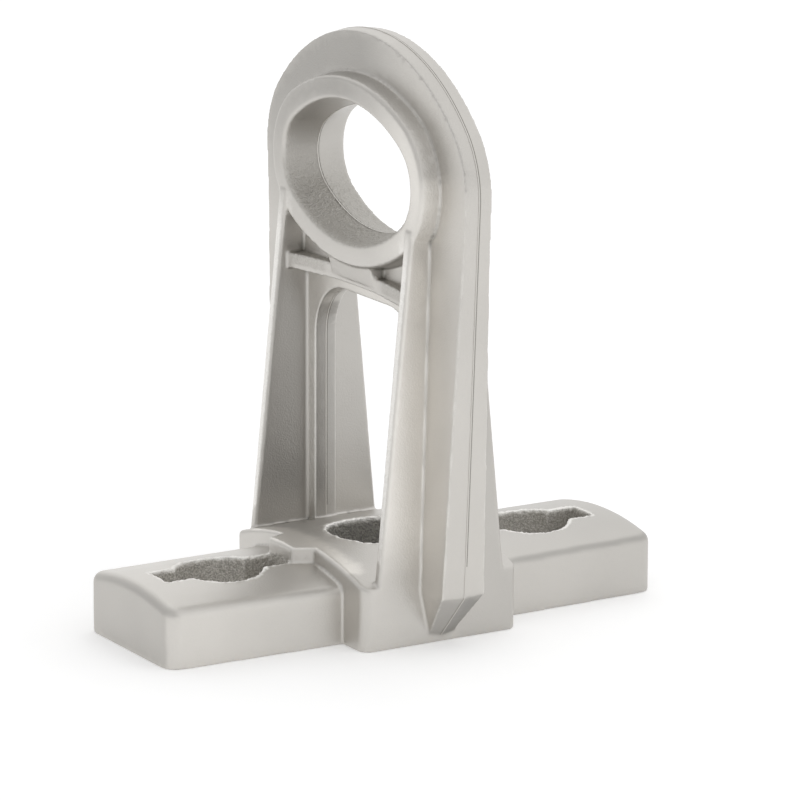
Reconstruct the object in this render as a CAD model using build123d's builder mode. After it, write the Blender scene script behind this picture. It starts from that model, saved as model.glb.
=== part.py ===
"""Cable anchor bracket: one aluminium casting with a slotted base, two legs and an oval eye."""

import os
from math import atan2, degrees, radians, tan

from build123d import *

# Frame: X runs along the base, Y across it, Z up from the mounting face.
# Lengths are in millimetres and angles in degrees.

# Base arms
base_length = 114.0
arm_root_width = 36.0
arm_end_width = 34.0
arm_height = 14.2
arm_crown_radius = 64.0
arm_corner_radius = 3.2
arm_top_rounding = 2.2

# Centre block between the arms
block_length = 36.2
block_width = 52.0
block_height = 17.4
block_crown_radius = 77.0
block_corner_radius = 2.5
block_top_rounding = 0.9

# Bolt holes and strap slots, one of each in either arm
bolt_spacing = 72.6
bolt_hole_diameter = 17.5
slot_length = 28.0
slot_width = 7.7
slot_corner_radius = 0.8
centre_hole_diameter = 20.0

# Boss that stands between the block and each slot
boss_tip_width = 9.1
boss_root_width = 12.8
boss_edge_rounding = 0.7

# Oval eye, narrowest at the parting plane
eye_height = 91.8
eye_width = 46.0
eye_opening = 25.4
eye_end_radius = 8.0
eye_draft = 14.0
eye_rounding = 0.8

# Oval hub round the eye
hub_width = 60.2
hub_height = 39.6
hub_end_radius = 16.0
hub_thickness = 14.6
hub_draft = 7.0
hub_rounding = 0.8

# Plate: an oval arch that comes down as two legs
plate_width = 78.4
arch_height = 56.2
arch_end_radius = 19.6
plate_foot_width = 69.6
plate_thickness = 6.0
plate_foot_thickness = 9.8
parting_draft = 7.0

# Tapered tail of each leg on the side of the block
tail_start_height = 11.0
tail_end_height = 1.3
tail_end_thickness = 5.5

# Gusset ribs along the inner edges of the legs
gusset_inner_side = 22.7
gusset_draft = 5.2
gusset_foot_depth = 29.4
gusset_top_depth = 15.2
gusset_top_height = 84.0
gusset_edge_rounding = 0.8

# Web and window between the legs
web_thickness = 5.0
window_width = 39.2
window_top_height = 65.4
window_corner_radius = 11.0
window_draft = 7.0

# Shelf rib and pad under the hub
shelf_height = 67.8
shelf_thickness = 3.2
shelf_rise = 0.4
shelf_middle_thickness = 9.6
pad_width = 19.0
pad_draft = 12.0
pad_overlap = 4.0

# Sizes that follow from the ones above
block_side = block_width / 2
boss_tip = bolt_spacing / 2 - slot_length / 2
cut_margin = 5.0


def crown_height(height, radius, y):
    """Height of a crowned top at a distance y from the middle."""
    return height - radius + (radius**2 - y**2) ** 0.5


def crowned_bar(length, width, height, radius):
    """Bar along X with a flat bottom and a crowned top."""
    side = width / 2
    side_height = crown_height(height, radius, side)
    with BuildPart() as bar:
        with BuildSketch(Plane.YZ):
            with BuildLine():
                Polyline((-side, side_height), (-side, 0), (side, 0), (side, side_height))
                ThreePointArc((side, side_height), (0, height), (-side, side_height))
            make_face()
        extrude(amount=length / 2, both=True)
    return bar.part


# Base bar: both arms in one drafted bar that runs on through the block
with BuildPart() as base_bar:
    with BuildSketch(Plane.XY):
        with BuildLine():
            Polyline(
                (-base_length / 2, -arm_end_width / 2),
                (-block_length / 2, -arm_root_width / 2),
                (block_length / 2, -arm_root_width / 2),
                (base_length / 2, -arm_end_width / 2),
                (base_length / 2, arm_end_width / 2),
                (block_length / 2, arm_root_width / 2),
                (-block_length / 2, arm_root_width / 2),
                (-base_length / 2, arm_end_width / 2),
                close=True,
            )
        make_face()
    extrude(amount=arm_height)
    end_corners = base_bar.edges().filter_by(Axis.Z).filter_by(lambda e: abs(e.center().X) > block_length)
    fillet(end_corners, radius=arm_corner_radius)
    add(crowned_bar(base_length, arm_root_width, arm_height, arm_crown_radius), mode=Mode.INTERSECT)
    crown_edges = base_bar.edges().filter_by(lambda e: e.center().Z > arm_height / 2)
    crown_edges = crown_edges.filter_by(lambda e: e.bounding_box().size.Z < arm_height / 3)
    fillet(crown_edges, radius=arm_top_rounding)

# Centre block
with BuildPart() as centre_block:
    add(crowned_bar(block_length, block_width, block_height, block_crown_radius))
    fillet(centre_block.edges().filter_by(Axis.Z), radius=block_corner_radius)
    top_edges = centre_block.edges().filter_by(lambda e: e.center().Z > block_height / 2)
    top_edges = top_edges.filter_by(lambda e: e.bounding_box().size.Z < block_height / 3)
    fillet(top_edges, radius=block_top_rounding)

# Bosses: the outer face of each is flush with the inner end of its slot
with BuildPart() as boss_crown:
    add(crowned_bar(2 * boss_tip, boss_root_width, block_height, block_crown_radius))
    fillet(boss_crown.edges().filter_by(GeomType.CIRCLE), radius=boss_edge_rounding)
with BuildPart() as bosses:
    with BuildSketch(Plane.XY):
        with BuildLine():
            Polyline(
                (boss_tip, -boss_tip_width / 2),
                (boss_tip, boss_tip_width / 2),
                (block_length / 2, boss_root_width / 2),
                (-block_length / 2, boss_root_width / 2),
                (-boss_tip, boss_tip_width / 2),
                (-boss_tip, -boss_tip_width / 2),
                (-block_length / 2, -boss_root_width / 2),
                (block_length / 2, -boss_root_width / 2),
                close=True,
            )
        make_face()
    extrude(amount=block_height)
    tip_corners = bosses.edges().filter_by(Axis.Z).filter_by(lambda e: abs(e.center().X) > block_length / 2 + 1)
    fillet(tip_corners, radius=boss_edge_rounding)
    add(boss_crown.part, mode=Mode.INTERSECT)


def half_oval(width, height, end_radius, lower=False):
    """Half of an oval on the eye's axis, made of three tangent arcs."""
    end_centre = width / 2 - end_radius
    side_radius = (end_centre**2 + (height / 2) ** 2 - end_radius**2) / (height - 2 * end_radius)
    side_centre = side_radius - height / 2
    blend = degrees(atan2(side_centre, end_centre))
    side = -1 if lower else 1
    turn = 180 if lower else 0
    CenterArc((side * end_centre, eye_height), end_radius, turn, blend)
    CenterArc((0, eye_height - side * side_centre), side_radius, turn + blend, 180 - 2 * blend)
    CenterArc((-side * end_centre, eye_height), end_radius, turn + 180 - blend, blend)


def drafted_oval(width, height, end_radius, thickness, draft):
    """Oval boss on the eye's axis that shrinks by its draft from the parting plane to each end."""
    with BuildPart() as oval:
        with BuildSketch(Plane.YZ):
            with BuildLine():
                half_oval(width, height, end_radius)
                half_oval(width, height, end_radius, lower=True)
            make_face()
        extrude(amount=thickness / 2, both=True, taper=draft)
    return oval.part


eye_cut = drafted_oval(eye_width, eye_opening, eye_end_radius, hub_thickness, -eye_draft)

# Pocket between the gussets that leaves only a thin web, with its sides flush with the gussets
with BuildPart() as pocket:
    with BuildSketch(Plane.YZ):
        with Locations((0, (shelf_height + shelf_thickness / 2 + tail_end_height) / 2)):
            Rectangle(2 * gusset_inner_side, shelf_height + shelf_thickness / 2 - tail_end_height)
    extrude(amount=plate_foot_thickness, both=True, taper=-gusset_draft)
    Box(web_thickness, plate_foot_width, 2 * eye_height, mode=Mode.SUBTRACT)

# Plate: the arch and both legs, drafted from the parting plane to each face
with BuildPart() as plate:
    with BuildSketch(Plane.YZ):
        with BuildLine():
            half_oval(plate_width, arch_height, arch_end_radius)
            Polyline(
                (-plate_width / 2, eye_height),
                (-plate_foot_width / 2, tail_start_height),
                (-block_side, tail_end_height),
                (block_side, tail_end_height),
                (plate_foot_width / 2, tail_start_height),
                (plate_width / 2, eye_height),
            )
        make_face()
    extrude(amount=plate_foot_thickness / 2, both=True, taper=parting_draft)
    with BuildSketch(Plane.XZ):
        with BuildLine():
            Polyline(
                (plate_thickness / 2, eye_height + arch_height),
                (plate_thickness / 2, gusset_top_height),
                (plate_foot_thickness / 2, tail_start_height),
                (tail_end_thickness / 2, tail_end_height),
                (-tail_end_thickness / 2, tail_end_height),
                (-plate_foot_thickness / 2, tail_start_height),
                (-plate_thickness / 2, gusset_top_height),
                (-plate_thickness / 2, eye_height + arch_height),
                close=True,
            )
        make_face()
    extrude(amount=plate_width, both=True, mode=Mode.INTERSECT)
    add(pocket.part, mode=Mode.SUBTRACT)
    # Window with rounded upper corners, drafted both ways from the parting plane
    with BuildSketch(Plane.YZ):
        with Locations((0, window_top_height / 2)):
            Rectangle(window_width, window_top_height)
        fillet(vertices().group_by(Axis.Y)[-1], radius=window_corner_radius)
    extrude(amount=web_thickness, both=True, taper=-window_draft, mode=Mode.SUBTRACT)

# Hub round the eye
with BuildPart() as hub:
    add(drafted_oval(hub_width, hub_height, hub_end_radius, hub_thickness, hub_draft))
    hub_rims = hub.edges().group_by(Axis.X)
    fillet(hub_rims[0] + hub_rims[-1], radius=hub_rounding)
    add(eye_cut, mode=Mode.SUBTRACT)
    eye_mouths = [edge for face in hub.faces().filter_by(Axis.X) for edge in face.inner_wires()[0].edges()]
    fillet(eye_mouths, radius=eye_rounding)

# Gussets: tapered ribs along the inner edge of each leg, drafted on their inner faces
gusset_reach = gusset_foot_depth / 2
gusset_foot_height = crown_height(block_height, block_crown_radius, block_side)
with BuildPart() as gusset:
    with BuildSketch(Plane.XY):
        with BuildLine():
            Polyline(
                (-gusset_reach, block_side),
                (-gusset_reach, gusset_inner_side + gusset_reach * tan(radians(gusset_draft))),
                (0, gusset_inner_side),
                (gusset_reach, gusset_inner_side + gusset_reach * tan(radians(gusset_draft))),
                (gusset_reach, block_side),
                close=True,
            )
        make_face()
    extrude(amount=eye_height)
    with BuildSketch(Plane.XZ):
        with BuildLine():
            Polyline(
                (-gusset_reach, gusset_foot_height),
                (-gusset_reach, tail_start_height),
                (gusset_reach, tail_start_height),
                (gusset_reach, gusset_foot_height),
                (gusset_top_depth / 2, gusset_top_height),
                (-gusset_top_depth / 2, gusset_top_height),
                close=True,
            )
        make_face()
    extrude(amount=-block_width, mode=Mode.INTERSECT)
    long_edges = gusset.edges().filter_by(lambda e: e.bounding_box().size.Z > eye_height / 2)
    fillet(long_edges.group_by(Axis.X)[0] + long_edges.group_by(Axis.X)[-1], radius=gusset_edge_rounding)

# Shelf rib from gusset to gusset, bowed back in the middle and arched upwards
shelf_side = (gusset_inner_side + block_side) / 2
with BuildPart() as shelf:
    with BuildSketch(Plane.YZ):
        with BuildLine():
            ThreePointArc(
                (-shelf_side, shelf_height), (0, shelf_height + shelf_rise), (shelf_side, shelf_height)
            )
            Line((shelf_side, shelf_height), (shelf_side, shelf_height + shelf_thickness))
            ThreePointArc(
                (shelf_side, shelf_height + shelf_thickness),
                (0, shelf_height + shelf_rise + shelf_thickness),
                (-shelf_side, shelf_height + shelf_thickness),
            )
            Line((-shelf_side, shelf_height + shelf_thickness), (-shelf_side, shelf_height))
        make_face()
    extrude(amount=hub_thickness / 2, both=True)
    with BuildSketch(Plane.XY):
        with BuildLine():
            ThreePointArc(
                (hub_thickness / 2, -shelf_side), (shelf_middle_thickness / 2, 0), (hub_thickness / 2, shelf_side)
            )
            Line((hub_thickness / 2, shelf_side), (-hub_thickness / 2, shelf_side))
            ThreePointArc(
                (-hub_thickness / 2, shelf_side), (-shelf_middle_thickness / 2, 0), (-hub_thickness / 2, -shelf_side)
            )
            Line((-hub_thickness / 2, -shelf_side), (hub_thickness / 2, -shelf_side))
        make_face()
    extrude(amount=eye_height, mode=Mode.INTERSECT)

# Pad that slopes from the hub's face down to the shelf
pad_bottom = shelf_height + shelf_rise
pad_top = eye_height - hub_height / 2 + pad_overlap
with BuildPart() as pad:
    with BuildSketch(Plane.YZ):
        with Locations((0, (pad_bottom + pad_top) / 2)):
            Rectangle(pad_width, pad_top - pad_bottom)
    extrude(amount=hub_thickness / 2, both=True, taper=pad_draft)
    with BuildSketch(Plane.XZ):
        with BuildLine():
            Polyline(
                (-shelf_middle_thickness / 2, pad_bottom),
                (shelf_middle_thickness / 2, pad_bottom),
                (hub_thickness / 2, pad_top),
                (-hub_thickness / 2, pad_top),
                close=True,
            )
        make_face()
    extrude(amount=pad_width, both=True, mode=Mode.INTERSECT)

# The casting: every form above in one solid, then the openings through it
with BuildPart() as bracket_casting:
    add(base_bar.part)
    add(centre_block.part)
    add(bosses.part)
    add(plate.part)
    add(eye_cut, mode=Mode.SUBTRACT)
    add(hub.part)
    add(gusset.part)
    add(gusset.part.mirror(Plane.XZ))
    add(shelf.part)
    add(pad.part)
    with BuildSketch(Plane.XY):
        with Locations((-bolt_spacing / 2, 0), (bolt_spacing / 2, 0)):
            Rectangle(slot_length, slot_width)
        fillet(vertices(), radius=slot_corner_radius)
        with Locations((-bolt_spacing / 2, 0), (bolt_spacing / 2, 0)):
            Circle(bolt_hole_diameter / 2)
        Circle(centre_hole_diameter / 2)
    extrude(amount=block_height + cut_margin, mode=Mode.SUBTRACT)

bracket_casting.part.label = "bracket_casting"
os.makedirs("parts", exist_ok=True)
export_step(bracket_casting.part, "parts/bracket_casting.step")
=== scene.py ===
"""Finish, cast details, stage and camera for a cast aluminium cable anchor bracket."""

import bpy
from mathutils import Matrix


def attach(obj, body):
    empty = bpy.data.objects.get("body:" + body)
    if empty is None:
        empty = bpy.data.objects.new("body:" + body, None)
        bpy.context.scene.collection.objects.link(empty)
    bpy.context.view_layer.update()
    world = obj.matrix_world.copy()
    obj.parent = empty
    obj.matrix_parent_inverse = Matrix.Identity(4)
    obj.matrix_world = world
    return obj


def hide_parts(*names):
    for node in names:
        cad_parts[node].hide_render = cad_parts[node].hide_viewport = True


bl_info = {
    "name": "Cable Anchor Bracket",
    "version": (1, 0, 0),
    "blender": (4, 5, 0),
    "location": "View3D > Sidebar > Bracket",
    "description": "Dresses a cable anchor bracket as a shot-blasted aluminium casting",
    "category": "Object",
}

from math import cos, radians, sin

import bmesh
import bpy
import numpy as np
from bpy.props import FloatProperty, FloatVectorProperty, IntProperty, PointerProperty
from mathutils import Quaternion, Vector

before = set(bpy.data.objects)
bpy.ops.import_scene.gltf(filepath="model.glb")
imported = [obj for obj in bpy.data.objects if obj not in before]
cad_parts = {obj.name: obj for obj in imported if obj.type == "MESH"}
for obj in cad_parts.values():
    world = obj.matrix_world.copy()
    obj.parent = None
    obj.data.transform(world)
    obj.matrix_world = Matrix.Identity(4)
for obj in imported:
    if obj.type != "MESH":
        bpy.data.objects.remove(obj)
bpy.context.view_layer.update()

MM = 0.001

# Bounds that several regions of the skin share, in mm above the underside
BASE_TOP = 17.6
GUSSET_TOP = 84
EYE_HEIGHT = 91.8

# Most that the eye's wall and the shelf take of the coarse grain
EYE_GRAIN = 0.7
SHELF_GRAIN = 0.45

# Share by which each region reflects more than the rest of the skin. The values are chosen
# to match the photograph under this light, and don't stand for a property of the metal.
PAINTED_LIGHT = {
    "left gussets": 0.34,
    "right gussets": -0.12,
    "beside gussets": 0.16,
    "near foot": 0.22,
    "web": 0.24,
    "left pockets": -0.28,
    "right pockets": -0.1,
    "left arm's edges": -0.14,
    "right arm's edges": -0.27,
    "arm ends": -0.2,
    "under tails, left": -0.24,
    "under tails, right": -0.46,
    "centre hole": -0.45,
    "boss tops": 0.44,
    "block top": 0.0,
    "slots": 0.16,
    "eye": -0.13,
    "hub's side": 0.2,
    "hub's front": 0.15,
    "ring shading": 0.32,
    "arch": -0.04,
}

# Point that the camera looks at, in mm
AIM = (5.8, 0, 43.34)


def srgb(code):
    """Linear colour from an sRGB hex code such as #C8C8C8."""
    channels = [int(code[i:i + 2], 16) / 255 for i in (1, 3, 5)]
    return [c / 12.92 if c <= 0.04045 else ((c + 0.055) / 1.055) ** 2.4 for c in channels]


class CastingSettings(bpy.types.PropertyGroup):
    """Shape of the cast skin."""

    voxel: FloatProperty(
        name="Voxel",
        description="Size of the voxels that round the edges as a casting's are",
        subtype="DISTANCE",
        default=0.3 * MM,
    )
    soften: IntProperty(
        name="Soften",
        description="Smoothing passes over the remeshed skin",
        default=2,
    )
    waviness: FloatProperty(
        name="Waviness",
        description="Height of the slow unevenness of the cast faces",
        subtype="DISTANCE",
        default=0.06 * MM,
    )
    wave_size: FloatProperty(
        name="Wave size",
        description="Width of the lumps of the slow unevenness",
        subtype="DISTANCE",
        default=5 * MM,
    )
    ragged: FloatProperty(
        name="Ragged",
        description="Height of the coarse grain on the walls and rims of the openings",
        subtype="DISTANCE",
        default=0.5 * MM,
    )
    ragged_size: FloatProperty(
        name="Ragged size",
        description="Width of the lumps of the coarse grain",
        subtype="DISTANCE",
        default=0.7 * MM,
    )
    triangles: IntProperty(
        name="Triangles",
        description="Triangles left in the finished skin",
        default=190000,
    )
    ridge_width: FloatProperty(
        name="Ridge width",
        description="Width of the ridge along the mould's parting line",
        subtype="DISTANCE",
        default=0.26 * MM,
    )
    ridge_height: FloatProperty(
        name="Ridge height",
        description="Height of the ridge above the skin",
        subtype="DISTANCE",
        default=0.06 * MM,
    )


class FinishSettings(bpy.types.PropertyGroup):
    """Finish of the casting."""

    metal_colour: FloatVectorProperty(
        name="Metal colour",
        description="Colour that blasted aluminium reflects",
        subtype="COLOR",
        default=srgb("#CDCAC5"),
    )
    grit_colour: FloatVectorProperty(
        name="Grit colour",
        description="Darker colour of the pits in the coarse walls",
        subtype="COLOR",
        default=srgb("#B6B3AC"),
    )
    # Colour of the convex edges, partly burnish and partly painted highlight, and of the painted
    # highlight on the narrow fronts of the gussets and the web
    burnish_and_highlight_colour: FloatVectorProperty(
        name="Edge colour",
        description="Brighter colour of edges that the blasting has burnished",
        subtype="COLOR",
        default=srgb("#F4F2EE"),
    )
    # Painted shade in the inner corners and on the walls beside them; also the dark line along the
    # parting line
    corner_shade_and_seam_colour: FloatVectorProperty(
        name="Crevice colour",
        description="Darker colour of inner corners and of the parting line",
        subtype="COLOR",
        default=srgb("#6B6861"),
    )
    roughness: FloatProperty(
        name="Roughness",
        description="Gloss of the blasted skin",
        subtype="FACTOR",
        default=0.4,
    )


class StageSettings(bpy.types.PropertyGroup):
    """Floor, lights and camera."""

    floor_colour: FloatVectorProperty(
        name="Floor colour",
        description="Colour of the plain floor",
        subtype="COLOR",
        default=srgb("#F4F4F4"),
    )
    floor_glow: FloatProperty(
        name="Floor glow",
        description="Emission that keeps the floor as pale as the background",
        default=0.24,
    )
    floor_drop: FloatProperty(
        name="Floor drop",
        description="Gap that keeps the uneven underside clear of the floor",
        subtype="DISTANCE",
        default=0.1 * MM,
    )
    camera_azimuth: FloatProperty(
        name="Camera azimuth",
        description="Turn of the camera from the front towards the left",
        subtype="ANGLE",
        default=radians(31.16),
    )
    camera_elevation: FloatProperty(
        name="Camera elevation",
        description="Height of the camera above the horizon",
        subtype="ANGLE",
        default=radians(13.89),
    )
    camera_distance: FloatProperty(
        name="Camera distance",
        description="Distance from the camera to the point it looks at",
        subtype="DISTANCE",
        default=1.02106,
    )
    camera_roll: FloatProperty(
        name="Camera roll",
        description="Roll of the camera about its own axis",
        subtype="ANGLE",
        default=radians(0.23),
    )
    lens: FloatProperty(
        name="Focal length",
        description="Focal length in millimetres on a 36 mm sensor",
        default=226.65,
    )


def add_node(tree, kind, sockets=None, **settings):
    """Adds a shader node, sets its fields, and sets or links its sockets."""
    node = tree.nodes.new(kind)
    for name, value in settings.items():
        setattr(node, name, value)
    for socket, value in (sockets or {}).items():
        if isinstance(value, bpy.types.NodeSocket):
            tree.links.new(value, node.inputs[socket])
        else:
            node.inputs[socket].default_value = value
    return node


def new_material(name):
    """Empty node material with its output node."""
    material = bpy.data.materials.new(name)
    material.use_nodes = True
    material.node_tree.nodes.clear()
    output = material.node_tree.nodes.new("ShaderNodeOutputMaterial")
    return material, material.node_tree, output


def cast_aluminium(settings):
    """Gravity-cast aluminium, shot-blasted: pale warm grey, satin, with a fine grain."""
    material, tree, output = new_material("cast_aluminium")
    place = add_node(tree, "ShaderNodeTexCoord").outputs["Object"]
    across = add_node(tree, "ShaderNodeSeparateXYZ", {"Vector": place})
    coarse = add_node(tree, "ShaderNodeAttribute", attribute_name="coarse").outputs["Fac"]

    # Blasting leaves dimples about 0.35 mm across
    grain = add_node(tree, "ShaderNodeTexNoise", {"Vector": place, "Scale": 2900, "Detail": 2.0})
    # The coarse walls have clumps of grain about 0.4 mm across
    clumps = add_node(tree, "ShaderNodeTexNoise", {"Vector": place, "Scale": 2600, "Detail": 4.0})
    # Slow change of tone over some 25 mm
    clouds = add_node(tree, "ShaderNodeTexNoise", {"Vector": place, "Scale": 40, "Detail": 2.0})

    speckle = add_node(
        tree,
        "ShaderNodeMapRange",
        {
            "Value": clumps.outputs["Fac"],
            "From Min": 0.38,
            "From Max": 0.62,
            "To Min": 1.0,
            "To Max": 0.0,
        },
    )
    pits = add_node(
        tree, "ShaderNodeMath", {0: speckle.outputs["Result"], 1: coarse}, operation="MULTIPLY"
    )
    tone = add_node(
        tree,
        "ShaderNodeMapRange",
        {
            "Value": clouds.outputs["Fac"],
            "From Min": 0.3,
            "From Max": 0.7,
            "To Min": 0.95,
            "To Max": 1.02,
        },
    )
    # Painted light and shade: the colour is lighter towards the left arm and darker towards the right
    # arm
    painted_side_light = add_node(
        tree,
        "ShaderNodeMapRange",
        {
            "Value": across.outputs["X"],
            "From Min": -45 * MM,
            "From Max": 45 * MM,
            "To Min": 1.09,
            "To Max": 0.89,
        },
    )
    tone_and_side_light = add_node(
        tree,
        "ShaderNodeMath",
        {0: tone.outputs["Result"], 1: painted_side_light.outputs["Result"]},
        operation="MULTIPLY",
    )
    # Each region's painted light and shade, from the tone attribute
    region = add_node(tree, "ShaderNodeAttribute", attribute_name="tone").outputs["Fac"]
    tone_and_painted_light = add_node(
        tree,
        "ShaderNodeMath",
        {0: tone_and_side_light.outputs["Value"], 1: region, 2: tone_and_side_light.outputs["Value"]},
        operation="MULTIPLY_ADD",
    )
    toned_and_lit = add_node(
        tree,
        "ShaderNodeVectorMath",
        {0: settings.metal_colour, "Scale": tone_and_painted_light.outputs["Value"]},
        operation="SCALE",
    )
    gritty = add_node(
        tree,
        "ShaderNodeMix",
        {0: pits.outputs["Value"], 6: toned_and_lit.outputs["Vector"], 7: (*settings.grit_colour, 1)},
        data_type="RGBA",
    )
    # Convex edges stand out brighter, unevenly, partly burnish and partly painted highlight; inner
    # corners are darker, a painted shade
    bend_and_light = add_node(tree, "ShaderNodeAttribute", attribute_name="bend_and_light").outputs["Fac"]
    unevenness = add_node(
        tree,
        "ShaderNodeMath",
        {0: clumps.outputs["Fac"], 1: 1.2, 2: 0.4},
        operation="MULTIPLY_ADD",
    )
    uneven_bend = add_node(
        tree, "ShaderNodeMath", {0: unevenness.outputs["Value"], 1: bend_and_light}, operation="MULTIPLY"
    )
    edges = add_node(
        tree,
        "ShaderNodeMapRange",
        {"Value": uneven_bend.outputs["Value"], "From Min": 0.1, "From Max": 1.0},
    )
    # Painted shade in the inner corners and beside them
    corner_shade = add_node(
        tree,
        "ShaderNodeMapRange",
        {"Value": bend_and_light, "From Min": -0.12, "From Max": -0.8, "To Max": 0.82},
    )
    # The mould's halves meet at x = 0 and leave a dark line 0.26 mm wide beside their ridge
    line = add_node(
        tree,
        "ShaderNodeMath",
        {0: across.outputs["X"], 1: 0.15 * MM, 2: 0.13 * MM},
        operation="COMPARE",
    )
    above_base = add_node(
        tree, "ShaderNodeMath", {0: across.outputs["Z"], 1: BASE_TOP * MM}, operation="GREATER_THAN"
    )
    seam = add_node(
        tree,
        "ShaderNodeMath",
        {0: line.outputs["Value"], 1: above_base.outputs["Value"]},
        operation="MULTIPLY",
    )
    dark = add_node(
        tree,
        "ShaderNodeMath",
        {0: seam.outputs["Value"], 1: 0.7, 2: corner_shade.outputs["Result"]},
        operation="MULTIPLY_ADD",
        use_clamp=True,
    )
    creased = add_node(
        tree,
        "ShaderNodeMix",
        {0: dark.outputs["Value"], 6: gritty.outputs[2], 7: (*settings.corner_shade_and_seam_colour, 1)},
        data_type="RGBA",
    )
    # Painted highlight and burnish on the convex edges, painted highlight on the narrow fronts of the
    # gussets and the web
    burnished_and_highlit = add_node(
        tree,
        "ShaderNodeMix",
        {0: edges.outputs["Result"], 6: creased.outputs[2], 7: (*settings.burnish_and_highlight_colour, 1)},
        data_type="RGBA",
    )
    gloss = add_node(
        tree,
        "ShaderNodeMath",
        {0: coarse, 1: 0.2, 2: settings.roughness},
        operation="MULTIPLY_ADD",
    )
    fine = add_node(
        tree, "ShaderNodeBump", {"Strength": 0.45, "Distance": 0.12 * MM, "Height": grain.outputs["Fac"]}
    )
    scuffs = add_node(
        tree, "ShaderNodeMapRange", {"Value": bend_and_light, "From Min": 0.8, "From Max": 1.0, "To Max": 0.6}
    )
    grit = add_node(
        tree, "ShaderNodeMath", {0: coarse, 1: scuffs.outputs["Result"]}, operation="MAXIMUM"
    )
    rough = add_node(
        tree,
        "ShaderNodeBump",
        {
            "Strength": grit.outputs["Value"],
            "Distance": 0.35 * MM,
            "Height": clumps.outputs["Fac"],
            "Normal": fine.outputs["Normal"],
        },
    )
    shader = add_node(
        tree,
        "ShaderNodeBsdfPrincipled",
        {
            "Base Color": burnished_and_highlit.outputs[2],
            "Metallic": 1.0,
            "Roughness": gloss.outputs["Value"],
            "Normal": rough.outputs["Normal"],
        },
    )
    tree.links.new(shader.outputs["BSDF"], output.inputs["Surface"])
    return material


def cad_copy():
    """The casting's CAD mesh with its loose triangles merged."""
    shape = bmesh.new()
    shape.from_mesh(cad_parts["bracket_casting"].data)
    bmesh.ops.remove_doubles(shape, verts=shape.verts, dist=0.001 * MM)
    return shape


def new_piece(name, shape):
    """Object made from a bmesh."""
    mesh = bpy.data.meshes.new(name)
    shape.to_mesh(mesh)
    shape.free()
    piece = bpy.data.objects.new(name, mesh)
    bpy.context.scene.collection.objects.link(piece)
    return piece


def settle(piece):
    """Applies a piece's modifiers to its mesh."""
    depsgraph = bpy.context.evaluated_depsgraph_get()
    mesh = bpy.data.meshes.new_from_object(piece.evaluated_get(depsgraph))
    piece.modifiers.clear()
    piece.data = mesh
    mesh.name = piece.name


def vertex_values(mesh):
    """Places in millimetres and normals of a mesh's vertices, as arrays."""
    places = np.empty(len(mesh.vertices) * 3)
    mesh.vertices.foreach_get("co", places)
    normals = np.empty(len(mesh.vertices) * 3)
    mesh.vertex_normals.foreach_get("vector", normals)
    return places.reshape(-1, 3) / MM, normals.reshape(-1, 3)


def ramp(values, zero, one):
    """0 before the first bound, 1 past the second and even between; the bounds may also fall."""
    return np.clip((values - zero) / (one - zero), 0, 1)


def within(values, low, high):
    """Which values lie between two bounds."""
    return (values > low) & (values < high)


def folded(places):
    """Distances from the two planes of symmetry, and heights, in mm."""
    return np.abs(places[:, 0]), np.abs(places[:, 1]), places[:, 2]


def in_slots(places):
    """Which vertices lie in the slots and bolt holes through the arms."""
    x, y, z = folded(places)
    return within(x, 21.9, 50.9) & (y < 9.2) & (z < 14.4)


def in_eye(places, half_width, half_height, half_depth):
    """Which vertices lie in an oval of this size round the eye's axis."""
    x, y, z = folded(places)
    return (np.hypot(y / half_width, (z - EYE_HEIGHT) / half_height) < 1) & (x < half_depth)


def coarse_weights(places, normals):
    """How coarse the cast skin is at each vertex, from 0 to 1."""
    x, y, z = folded(places)
    # Walls that lean by less than 24 degrees are coarse, and by more than 47 they are smooth
    upright = np.clip(2.2 - 3 * np.abs(normals[:, 2]), 0, 1)
    in_hole = (np.hypot(x, y) < 10.6) & (z < 18)
    walls = upright * (in_slots(places) | in_hole)
    # The eye's wall grows coarser from just above its middle downwards
    across, above = places[:, 1], z - EYE_HEIGHT
    inward = -(normals[:, 1] * across + normals[:, 2] * above) / np.hypot(across, above)
    lower = np.clip(0.1 - above / 14, 0, EYE_GRAIN)
    eye = in_eye(places, 26.5, 16, 7.4) * np.clip(inward * 2, 0, 1) * lower
    # Top of the shelf beside its pad
    on_shelf = within(z, 69.0, 72.6) & within(x, 3.4, 8.6)
    shelf = on_shelf * SHELF_GRAIN * ramp(y, 10, 12) * ramp(y, 23, 21)
    return np.maximum.reduce([walls, eye, shelf])


def rim_weights(places, bend_and_light):
    """Which vertices lie on the chipped upper rims of the slots and the centre hole."""
    x, y, z = folded(places)
    near_slots = within(x, 21.5, 51.2) & (y < 9.6) & within(z, 11, 16)
    near_hole = (np.hypot(x, y) < 10.9) & within(z, 15, 18)
    return np.clip(4 * bend_and_light, 0, 1) * (near_slots | near_hole)


def blurred(mesh, values, passes):
    """Averages each vertex's value with its neighbours', as often as asked."""
    pairs = np.empty(len(mesh.edges) * 2, dtype=np.int32)
    mesh.edges.foreach_get("vertices", pairs)
    starts, ends = pairs.reshape(-1, 2).T
    neighbours = np.bincount(pairs, minlength=len(values))
    for _ in range(passes):
        gained = np.bincount(starts, values[ends], len(values))
        gained += np.bincount(ends, values[starts], len(values))
        values = (values + gained) / (1 + neighbours)
    return values


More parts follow.
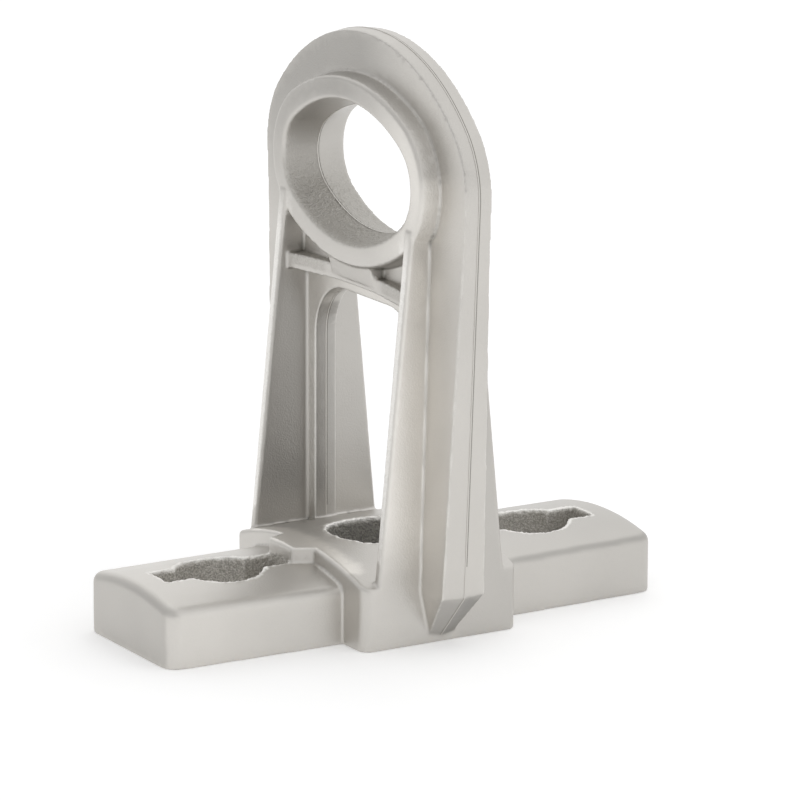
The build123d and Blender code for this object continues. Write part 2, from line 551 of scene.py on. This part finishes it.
def bend_and_light_weights(mesh, sharp, soft, normals):
    """How bright the skin is painted: 1 on the sharpest edges, partly burnish and partly painted
    highlight, -1 in the inner corners, painted shade.

    Smoothing draws the edges in and the inner corners out, so its shift shows the bend.
    """
    # A shift of up to 0.01 mm counts as flat, and one from 0.045 mm as sharp
    shift = ((sharp - soft) * normals).sum(axis=1)
    bend_and_light = np.sign(shift) * np.clip((np.abs(shift) - 0.01) / 0.035, 0, 1)
    bend_and_light = np.clip(1.7 * blurred(mesh, bend_and_light, 1), -1, 1)
    crease = blurred(mesh, np.minimum(bend_and_light, 0), 3)
    x, y, z = folded(sharp)
    facing_x = np.abs(normals[:, 0]) > 0.9
    # The narrow fronts of the gussets and of the web's sides get a painted highlight, which fades
    # upwards
    on_gusset = facing_x & (y > 21) & (x > 7.2) & within(z, 18, GUSSET_TOP)
    bend_and_light = np.where(on_gusset, np.clip((86 - z) / 12, 0.2, 1), bend_and_light)
    on_web_side = facing_x & within(y, 19.4, 22.6) & (x < 3.2) & (z > BASE_TOP)
    bend_and_light = np.where(on_web_side, np.clip((70 - z) / 20, 0, 0.95), bend_and_light)
    # Walls get painted shade beside the inner corners, less of it round the hub
    on_wall = (np.abs(normals[:, 1]) > 0.35) & (z > 18) & (crease < -0.02)
    wall_shade = np.where(z > GUSSET_TOP, 1.2, 3) * crease
    bend_and_light = np.where(on_wall, np.clip(bend_and_light + wall_shade, -0.9, 1), bend_and_light)
    # The rims of the slots and of the centre hole are made brighter
    rims = np.clip(3 * blurred(mesh, rim_weights(soft, bend_and_light), 2), 0, 1)
    return blurred(mesh, np.where(rims > 0, np.maximum(bend_and_light, rims), bend_and_light), 1)


def painted_light_weights(mesh, places, normals, bend_and_light):
    """How much brighter or darker than the rest each region of the skin is painted: painted light and
    shade.
    """
    x, y, z = folded(places)
    right, rear = places[:, 0] > 0, places[:, 1]
    along_x, along_y, up = np.abs(normals[:, 0]), np.abs(normals[:, 1]), normals[:, 2]
    facing_x, facing_y = along_x > 0.9, along_y > 0.8

    # Plate: the gussets' outer sides, the legs beside them, and the web under the shelf
    gusset_sides = facing_y & within(y, 25, 33) & (x > 3.6) & (z < GUSSET_TOP)
    left_gussets = PAINTED_LIGHT["left gussets"] * ramp(z, 14, 26) * ramp(z, GUSSET_TOP, 76) * ramp(x, 3.4, 4.9)
    legs = facing_x & (x < 5.4) & (y > 26) & (z < 82)
    beside_gussets = PAINTED_LIGHT["beside gussets"] * ramp(y, 33, 27) * ramp(z, 12, 20)
    near_foot = PAINTED_LIGHT["near foot"] * ramp(z, 45, 20)
    web = facing_x & (x < 3.4) & (y < 22.6) & (z < 70)
    pockets = facing_y & (y < 25) & (z > 14) & (x < 14)
    in_pockets = np.where(places[:, 0] < 3.4, PAINTED_LIGHT["left pockets"], PAINTED_LIGHT["right pockets"])

    # Base: the arms' round top edges and ends, the tails' undersides, the tops and the openings
    arm_edges = (x > 21) & within(z, 9, 14.5) & within(up, 0.4, 0.85) & ((y > 13) | (x > 51))
    under_tails = (y > 26) & (z < 11) & (up < -0.3)
    hole = (np.hypot(x, y) < 10.3) & (z < 16.5)
    tops = (up > 0.8) & (x < 22) & within(z, 14.8, 19)
    slots = in_slots(places) & (np.abs(up) < 0.5)

    # Ring: its flat faces are painted darker towards the top and the rear, a painted shade, and painted
    # brighter beside the hub, a painted light
    eye = in_eye(places, 26.3, 15.8, 6.6)
    hub_side = (along_y > 0.5) & (z > 80) & within(x, 3.6, 7.4) & (y > 14) & ~eye & (rear < 0)
    flat = (along_x > 0.97) & (x > 2.7) & (z > 75)
    ring_shading = PAINTED_LIGHT["ring shading"] * ramp(z, 75, 105) * np.clip((rear + 18) / 18, -0.8, 1)
    near_hub = blurred(mesh, np.minimum(bend_and_light, 0), 10) * ramp(rear, 0, -10)
    on_flat = PAINTED_LIGHT["hub's front"] * ramp(rear, -10, -22) * (x > 4.8)
    on_flat -= np.where(x > 4.8, ring_shading, np.maximum(ring_shading, -0.08))
    on_flat -= np.where(x < 4.8, 0.6 * near_hub, 0)
    arch = (along_x < 0.5) & (z > 95) & (y > 9) & ~eye

    # Where regions overlap, the later one counts
    tone = np.zeros(len(places))
    for region, value in (
        (gusset_sides, np.where(right, PAINTED_LIGHT["right gussets"], left_gussets)),
        (legs, np.maximum(beside_gussets, near_foot)),
        (web, PAINTED_LIGHT["web"]),
        (arm_edges, np.where(right, PAINTED_LIGHT["right arm's edges"], PAINTED_LIGHT["left arm's edges"])),
        (facing_x & (x > 56), PAINTED_LIGHT["arm ends"]),
        (under_tails, np.where(right, PAINTED_LIGHT["under tails, right"], PAINTED_LIGHT["under tails, left"])),
        (pockets, in_pockets * ramp(z, 76, 66)),
        (hole, PAINTED_LIGHT["centre hole"]),
        (eye, PAINTED_LIGHT["eye"]),
        (tops, np.where(x > 14.4, PAINTED_LIGHT["boss tops"], PAINTED_LIGHT["block top"])),
        (slots, PAINTED_LIGHT["slots"]),
        (hub_side, PAINTED_LIGHT["hub's side"]),
        (flat, on_flat),
        (arch, PAINTED_LIGHT["arch"]),
    ):
        tone = np.where(region, value, tone)
    return blurred(mesh, tone, 5)


def add_values(mesh, name, values):
    """Stores one number per vertex for the material to read."""
    attribute = mesh.attributes.new(name, "FLOAT", "POINT")
    attribute.data.foreach_set("value", values.astype(np.float32))


def noise_texture(name, size):
    """Smooth noise whose lumps are about as wide as the size."""
    texture = bpy.data.textures.new(name, "CLOUDS")
    texture.noise_scale = size
    return texture


def cast_skin(settings):
    """The casting with the soft edges, unevenness and coarse openings of a real one."""
    skin = new_piece("casting", cad_copy())
    skin.modifiers.new("Voxels", "REMESH").voxel_size = settings.voxel
    settle(skin)
    sharp, normals = vertex_values(skin.data)
    soften = skin.modifiers.new("Soften", "SMOOTH")
    soften.factor = 0.5
    soften.iterations = settings.soften
    settle(skin)
    soft = vertex_values(skin.data)[0]
    bend_and_light = bend_and_light_weights(skin.data, sharp, soft, normals)
    coarse = coarse_weights(soft, normals)
    add_values(skin.data, "bend_and_light", bend_and_light)
    # The tone attribute carries each region's painted light and shade
    add_values(skin.data, "tone", painted_light_weights(skin.data, soft, normals, bend_and_light))
    add_values(skin.data, "coarse", coarse)
    group = skin.vertex_groups.new(name="ragged")
    ragged_weights = np.maximum(coarse, rim_weights(soft, bend_and_light))
    least_weight = 0.02
    for index in np.flatnonzero(ragged_weights > least_weight):
        group.add([int(index)], float(ragged_weights[index]), "REPLACE")
    wave = skin.modifiers.new("Wave", "DISPLACE")
    wave.texture = noise_texture("wave", settings.wave_size)
    wave.strength = settings.waviness
    wave.mid_level = 0.5
    ragged = skin.modifiers.new("Ragged", "DISPLACE")
    ragged.texture = noise_texture("ragged", settings.ragged_size)
    ragged.strength = settings.ragged
    ragged.mid_level = 0.5
    ragged.vertex_group = group.name
    thin = skin.modifiers.new("Thin", "DECIMATE")
    thin.ratio = min(1.0, settings.triangles / (2 * len(skin.data.polygons)))
    settle(skin)
    skin.vertex_groups.clear()
    skin.data.shade_smooth()
    return skin


def parting_ridge(settings):
    """Fine ridge that the joint of the mould leaves round the plate, the eye and the window."""
    shape = cad_copy()
    everything = shape.verts[:] + shape.edges[:] + shape.faces[:]
    # A cut right at x = 0 would run along the mesh's own edges
    middle = 0.05 * MM
    bmesh.ops.bisect_plane(
        shape,
        geom=everything,
        dist=0.001 * MM,
        plane_co=(middle, 0, 0),
        plane_no=(1, 0, 0),
        clear_inner=True,
        clear_outer=True,
    )
    # Below the base's top, only the tails' outer edges show
    low = [v for v in shape.verts if v.co.z < BASE_TOP * MM]
    hidden = [v for v in low if abs(v.co.y) < 19 * MM or v.co.z < 1 * MM]
    bmesh.ops.delete(shape, geom=hidden, context="VERTS")
    bmesh.ops.remove_doubles(shape, verts=shape.verts, dist=0.02 * MM)
    bmesh.ops.translate(shape, verts=shape.verts, vec=(-middle - settings.ridge_width, 0, 0))
    strip = bmesh.ops.extrude_edge_only(shape, edges=shape.edges[:])["geom"]
    far_side = [v for v in strip if isinstance(v, bmesh.types.BMVert)]
    bmesh.ops.translate(shape, verts=far_side, vec=(settings.ridge_width, 0, 0))
    bmesh.ops.recalc_face_normals(shape, faces=shape.faces)
    ridge = new_piece("parting_ridge", shape)
    thick = ridge.modifiers.new("Height", "SOLIDIFY")
    thick.thickness = 2 * settings.ridge_height
    thick.offset = 0
    settle(ridge)
    return ridge


class BRACKET_OT_casting(bpy.types.Operator):
    """Gives the casting its skin, its details and its finish"""

    bl_idname = "bracket.casting"
    bl_label = "Casting"

    def execute(self, context):
        metal = cast_aluminium(context.scene.bracket_finish)
        skin = cast_skin(context.scene.bracket_casting)
        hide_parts("bracket_casting")
        ridge = parting_ridge(context.scene.bracket_casting)
        for piece in (skin, ridge):
            piece.data.materials.clear()
            piece.data.materials.append(metal)
            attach(piece, "root")
        return {"FINISHED"}


class BRACKET_OT_stage(bpy.types.Operator):
    """Builds the floor, the lights and the camera"""

    bl_idname = "bracket.stage"
    bl_label = "Stage"

    def execute(self, context):
        settings = context.scene.bracket_stage
        self.floor(settings)
        self.lights(context)
        self.camera(context, settings)
        return {"FINISHED"}

    def floor(self, settings):
        shape = bmesh.new()
        bmesh.ops.create_grid(shape, x_segments=1, y_segments=1, size=3.0)
        bmesh.ops.translate(shape, verts=shape.verts, vec=(0, 0, -settings.floor_drop))
        floor = new_piece("floor", shape)
        material, tree, output = new_material("floor_paint")
        shader = add_node(
            tree,
            "ShaderNodeBsdfPrincipled",
            {
                "Base Color": (*settings.floor_colour, 1),
                "Roughness": 0.9,
                "Emission Color": (1, 1, 1, 1),
                "Emission Strength": settings.floor_glow,
            },
        )
        tree.links.new(shader.outputs["BSDF"], output.inputs["Surface"])
        floor.data.materials.append(material)

    def lights(self, context):
        """Soft light all round, brightest from above and from the right."""
        world = bpy.data.worlds.new("studio")
        world.use_nodes = True
        tree = world.node_tree
        toward = add_node(tree, "ShaderNodeTexCoord").outputs["Generated"]
        parts = add_node(tree, "ShaderNodeSeparateXYZ", {"Vector": toward})
        ceiling = add_node(
            tree,
            "ShaderNodeMapRange",
            {
                "Value": parts.outputs["Z"],
                "From Min": 0.2,
                "From Max": 0.7,
                "To Min": 1.0,
                "To Max": 1.05,
            },
            interpolation_type="SMOOTHSTEP",
        )
        sides = add_node(
            tree,
            "ShaderNodeMapRange",
            {
                "Value": parts.outputs["X"],
                "From Min": -0.6,
                "From Max": 0.4,
                "To Min": 0.68,
                "To Max": 1.04,
            },
            interpolation_type="SMOOTHSTEP",
        )
        level = add_node(
            tree,
            "ShaderNodeMath",
            {0: ceiling.outputs["Result"], 1: sides.outputs["Result"]},
            operation="MULTIPLY",
        )
        tree.links.new(level.outputs["Value"], tree.nodes["Background"].inputs["Color"])
        context.scene.world = world
        context.scene.view_settings.view_transform = "Standard"

    def camera(self, context, settings):
        azimuth, elevation = settings.camera_azimuth, settings.camera_elevation
        aim = Vector(AIM) * MM
        back = Vector((-sin(azimuth) * cos(elevation), -cos(azimuth) * cos(elevation), sin(elevation)))
        data = bpy.data.cameras.new("camera")
        data.sensor_width = 36
        data.lens = settings.lens
        camera = bpy.data.objects.new("camera", data)
        context.scene.collection.objects.link(camera)
        camera.location = aim + back * settings.camera_distance
        camera.rotation_mode = "QUATERNION"
        level = (-back).to_track_quat("-Z", "Y")
        camera.rotation_quaternion = level @ Quaternion((0, 0, 1), settings.camera_roll)
        context.scene.camera = camera


class BRACKET_PT_panel(bpy.types.Panel):
    """Sidebar panel that lists the steps"""

    bl_idname = "BRACKET_PT_panel"
    bl_label = "Cable anchor bracket"
    bl_space_type = "VIEW_3D"
    bl_region_type = "UI"
    bl_category = "Bracket"

    def draw(self, context):
        for name in SETTINGS:
            settings = getattr(context.scene, name)
            for field in settings.__annotations__:
                self.layout.prop(settings, field)
        for operator in OPERATORS:
            self.layout.operator(operator.bl_idname)


SETTINGS = {
    "bracket_casting": CastingSettings,
    "bracket_finish": FinishSettings,
    "bracket_stage": StageSettings,
}
OPERATORS = (BRACKET_OT_casting, BRACKET_OT_stage)


def register():
    for group in (*SETTINGS.values(), *OPERATORS, BRACKET_PT_panel):
        bpy.utils.register_class(group)
    for name, group in SETTINGS.items():
        setattr(bpy.types.Scene, name, PointerProperty(type=group))


def unregister():
    for name in SETTINGS:
        delattr(bpy.types.Scene, name)
    for group in (BRACKET_PT_panel, *reversed(OPERATORS), *reversed(SETTINGS.values())):
        bpy.utils.unregister_class(group)


def main():
    register()
    bpy.ops.bracket.casting()
    bpy.ops.bracket.stage()


if __name__ == "__main__":
    main()
